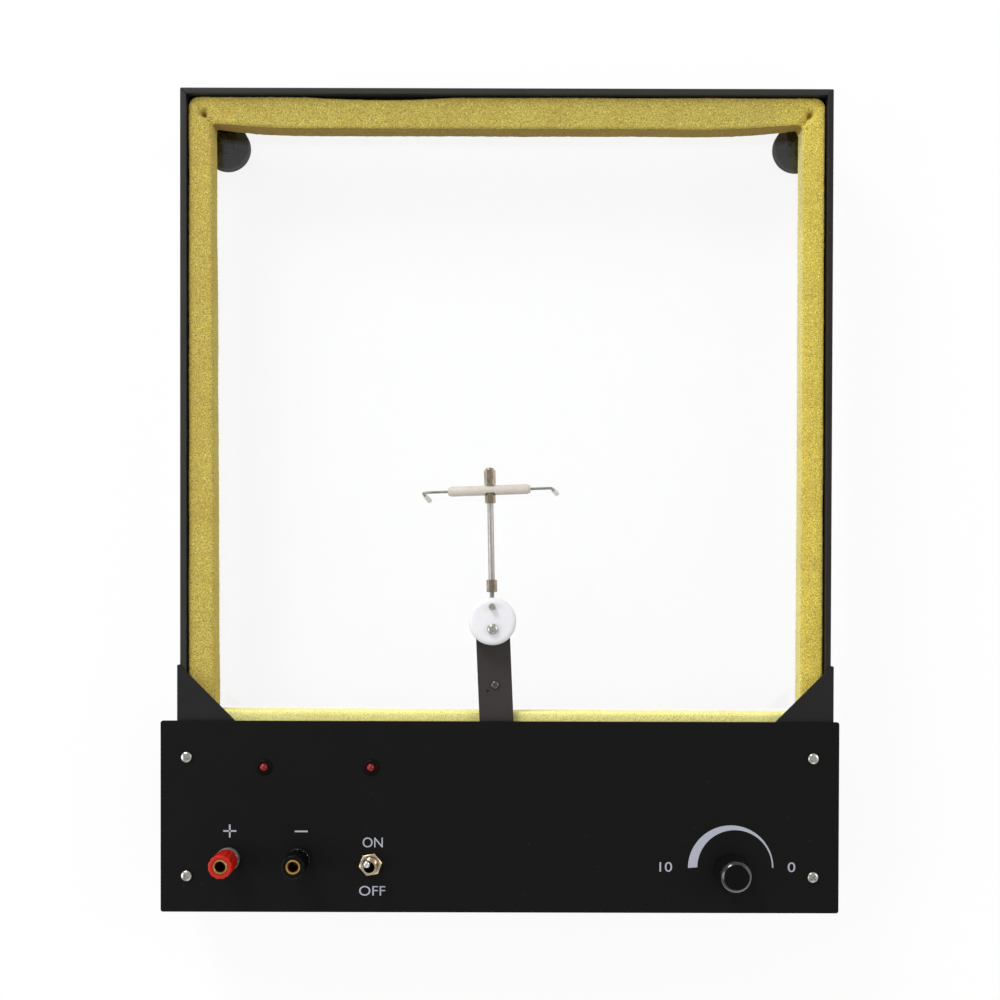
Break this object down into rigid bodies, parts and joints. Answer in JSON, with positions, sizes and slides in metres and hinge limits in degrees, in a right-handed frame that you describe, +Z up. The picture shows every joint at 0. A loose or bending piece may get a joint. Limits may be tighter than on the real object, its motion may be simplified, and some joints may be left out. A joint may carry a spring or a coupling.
{
  "type": "ripple tank",
  "caption": "Square glass-bottomed ripple tank with foam beaches, a control box with posts, switch and dial, and a rocking motor arm that drives two bent dipper wires.",
  "frame": {"origin": "on the floor, under the middle of the whole apparatus", "axes": "+X to the right, +Y from the control panel towards the back of the tank, +Z up"},
  "size_m": [0.28, 0.34, 0.0606],
  "materials": {
    "frame_paint": "satin black stove enamel",
    "panel_paint": "satin black enamel, slightly specked",
    "tray_paint": "satin black enamel",
    "seal_rubber": "matt closed-cell tape",
    "clear_glass": "polished float glass",
    "yellow_foam": "open-cell polyurethane foam",
    "foot_rubber": "matt moulded rubber",
    "stud_zinc": "zinc-plated steel",
    "screw_steel": "nickel-plated steel",
    "lamp_red": "clear red lens",
    "bezel_black": "satin black",
    "collar_smoke": "glossy moulding",
    "post_brass": "turned brass",
    "washer_nickel": "nickel plate",
    "cap_red": "glossy red moulding",
    "cap_black": "glossy black moulding",
    "switch_case": "dark moulding with plated bush",
    "switch_nickel": "nickel-plated hexagon nut",
    "lever_chrome": "bright chrome",
    "pot_metal": "zinc-plated can and bush",
    "knob_black": "semi-gloss fluted moulding",
    "board_green": "glass-fibre board with components",
    "arm_paint": "satin black, worn at the edges",
    "bracket_steel": "plated steel sheet",
    "pin_steel": "ground steel",
    "bush_rubber": "soft rubber",
    "motor_steel": "zinc-plated can",
    "weight_brass": "turned brass on a steel shaft",
    "disc_nylon": "white nylon",
    "rod_nickel": "nickel-plated steel",
    "cap_nut_chrome": "bright nickel plate",
    "tube_white": "white tube",
    "dipper_wire": "spring wire with pale sleeves"
  },
  "bodies": {
    "base": {"arm_bracket": "bracket_steel", "arm_bushes": "bush_rubber", "case_screws": "screw_steel", "control_board": "board_green", "control_tray": "tray_paint", "foam_front": "yellow_foam", "foam_left": "yellow_foam", "foam_rear": "yellow_foam", "foam_right": "yellow_foam", "foot_plates": "frame_paint", "front_wall": "frame_paint", "glass_bottom": "clear_glass", "glass_seal": "seal_rubber", "gusset_left": "frame_paint", "gusset_right": "frame_paint", "lamp_bezels": "bezel_black", "lamp_lenses": "lamp_red", "left_wall": "frame_paint", "panel_plate": "panel_paint", "pivot_pin": "pin_steel", "post_bodies": "post_brass", "post_collars": "collar_smoke", "post_nuts": "post_brass", "pot_body": "pot_metal", "pot_nut": "switch_nickel", "rear_wall": "frame_paint", "right_wall": "frame_paint", "toggle_body": "switch_case", "toggle_nut": "switch_nickel"},
    "pad_rear_left": {"foot_pad_rear_left": "foot_rubber"},
    "stud_rear_left": {"foot_stud_rear_left": "stud_zinc"},
    "pad_rear_right": {"foot_pad_rear_right": "foot_rubber"},
    "stud_rear_right": {"foot_stud_rear_right": "stud_zinc"},
    "pad_front_left": {"foot_pad_front_left": "foot_rubber"},
    "stud_front_left": {"foot_stud_front_left": "stud_zinc"},
    "pad_front_right": {"foot_pad_front_right": "foot_rubber"},
    "stud_front_right": {"foot_stud_front_right": "stud_zinc"},
    "lever": {"toggle_lever": "lever_chrome"},
    "dial": {"knob": "knob_black", "pot_shaft": "pot_metal"},
    "washer_red": {"washer_red": "washer_nickel"},
    "cap_red": {"cap_red": "cap_red"},
    "washer_black": {"washer_black": "washer_nickel"},
    "cap_black": {"cap_black": "cap_black"},
    "arm": {"arm_leaf": "arm_paint", "arm_strip": "arm_paint", "arm_fasteners": "screw_steel", "motor_can": "motor_steel", "motor_clip": "bracket_steel", "disc_fasteners": "screw_steel"},
    "weight": {"eccentric_weight": "weight_brass"},
    "disc": {"vibrator_disc": "disc_nylon", "set_screw": "screw_steel"},
    "rod": {"dipper_rod": "rod_nickel", "rod_nuts": "rod_nickel", "cap_nut": "cap_nut_chrome"},
    "bar": {"cross_tube": "tube_white"},
    "wire_left": {"dipper_left": "dipper_wire"},
    "wire_right": {"dipper_right": "dipper_wire"}
  },
  "joints": [
    {"name": "foot_travel_rear_left", "type": "slide", "parent": "base", "child": "pad_rear_left", "axis": [0, 0, 1], "range_m": [-0.002, 0.002]},
    {"name": "foot_turn_rear_left", "type": "hinge", "parent": "pad_rear_left", "child": "stud_rear_left", "pos_m": [-0.11955, 0.1555, 0.0065], "axis": [0, 0, 1], "range_deg": [-901, 901]},
    {"name": "foot_travel_rear_right", "type": "slide", "parent": "base", "child": "pad_rear_right", "axis": [0, 0, 1], "range_m": [-0.002, 0.002]},
    {"name": "foot_turn_rear_right", "type": "hinge", "parent": "pad_rear_right", "child": "stud_rear_right", "pos_m": [0.12825, 0.1555, 0.0065], "axis": [0, 0, 1], "range_deg": [-901, 901]},
    {"name": "foot_travel_front_left", "type": "slide", "parent": "base", "child": "pad_front_left", "axis": [0, 0, 1], "range_m": [-0.002, 0.002]},
    {"name": "foot_turn_front_left", "type": "hinge", "parent": "pad_front_left", "child": "stud_front_left", "pos_m": [-0.125, -0.155, 0.0065], "axis": [0, 0, 1], "range_deg": [-901, 901]},
    {"name": "foot_travel_front_right", "type": "slide", "parent": "base", "child": "pad_front_right", "axis": [0, 0, 1], "range_m": [-0.002, 0.002]},
    {"name": "foot_turn_front_right", "type": "hinge", "parent": "pad_front_right", "child": "stud_front_right", "pos_m": [0.125, -0.155, 0.0065], "axis": [0, 0, 1], "range_deg": [-901, 901]},
    {"name": "switch_lever", "type": "hinge", "parent": "base", "child": "lever", "pos_m": [-0.0532, -0.15, 0.046], "axis": [0.9848, 0.1736, 0], "range_deg": [0, 30]},
    {"name": "speed_dial", "type": "hinge", "parent": "base", "child": "dial", "pos_m": [0.0957, -0.1525, 0.042], "axis": [0, 0, 1], "range_deg": [-150, 150]},
    {"name": "cap_travel_red", "type": "slide", "parent": "base", "child": "washer_red", "axis": [0, 0, 1], "range_m": [0, 0.005]},
    {"name": "cap_turn_red", "type": "hinge", "parent": "washer_red", "child": "cap_red", "pos_m": [-0.112, -0.148, 0.0465], "axis": [0, 0, 1], "range_deg": [-1, 1801]},
    {"name": "cap_travel_black", "type": "slide", "parent": "base", "child": "washer_black", "axis": [0, 0, 1], "range_m": [0, 0.005]},
    {"name": "cap_turn_black", "type": "hinge", "parent": "washer_black", "child": "cap_black", "pos_m": [-0.0828, -0.148, 0.0465], "axis": [0, 0, 1], "range_deg": [-1, 1801]},
    {"name": "arm_rock", "type": "hinge", "parent": "base", "child": "arm", "pos_m": [-0.0021, -0.105, 0.0335], "axis": [1, 0, 0], "range_deg": [-1.2, 1.2], "stiffness_Nm_per_rad": 1.5},
    {"name": "weight_spin", "type": "hinge", "parent": "arm", "child": "weight", "pos_m": [0.0059, -0.127, 0.0282], "axis": [1, 0, 0], "continuous": true},
    {"name": "disc_turn", "type": "hinge", "parent": "arm", "child": "disc", "pos_m": [-0.00312, -0.05272, 0.0391], "axis": [0, 0, 1], "range_deg": [-30, 30]},
    {"name": "rod_slide", "type": "slide", "parent": "disc", "child": "rod", "axis": [-0.0209, 0.9998, 0], "range_m": [-0.002, 0.0025]},
    {"name": "bar_tilt", "type": "hinge", "parent": "rod", "child": "bar", "pos_m": [-0.00431, 0.00417, 0.0431], "axis": [-0.0209, 0.9998, 0], "range_deg": [-8, 8]},
    {"name": "wire_slide_left", "type": "slide", "parent": "bar", "child": "wire_left", "axis": [-0.9993, -0.0384, 0], "range_m": [-0.005, 0.005]},
    {"name": "wire_slide_right", "type": "slide", "parent": "bar", "child": "wire_right", "axis": [0.9993, 0.0384, 0], "range_m": [-0.005, 0.005]}
  ],
  "couplings": [
    {"joint": "foot_turn_rear_left", "follows": "foot_travel_rear_left", "rad_per_m": 7854},
    {"joint": "foot_turn_rear_right", "follows": "foot_travel_rear_right", "rad_per_m": 7854},
    {"joint": "foot_turn_front_left", "follows": "foot_travel_front_left", "rad_per_m": 7854},
    {"joint": "foot_turn_front_right", "follows": "foot_travel_front_right", "rad_per_m": 7854},
    {"joint": "cap_turn_red", "follows": "cap_travel_red", "rad_per_m": 6283.2},
    {"joint": "cap_turn_black", "follows": "cap_travel_black", "rad_per_m": 6283.2}
  ]
}
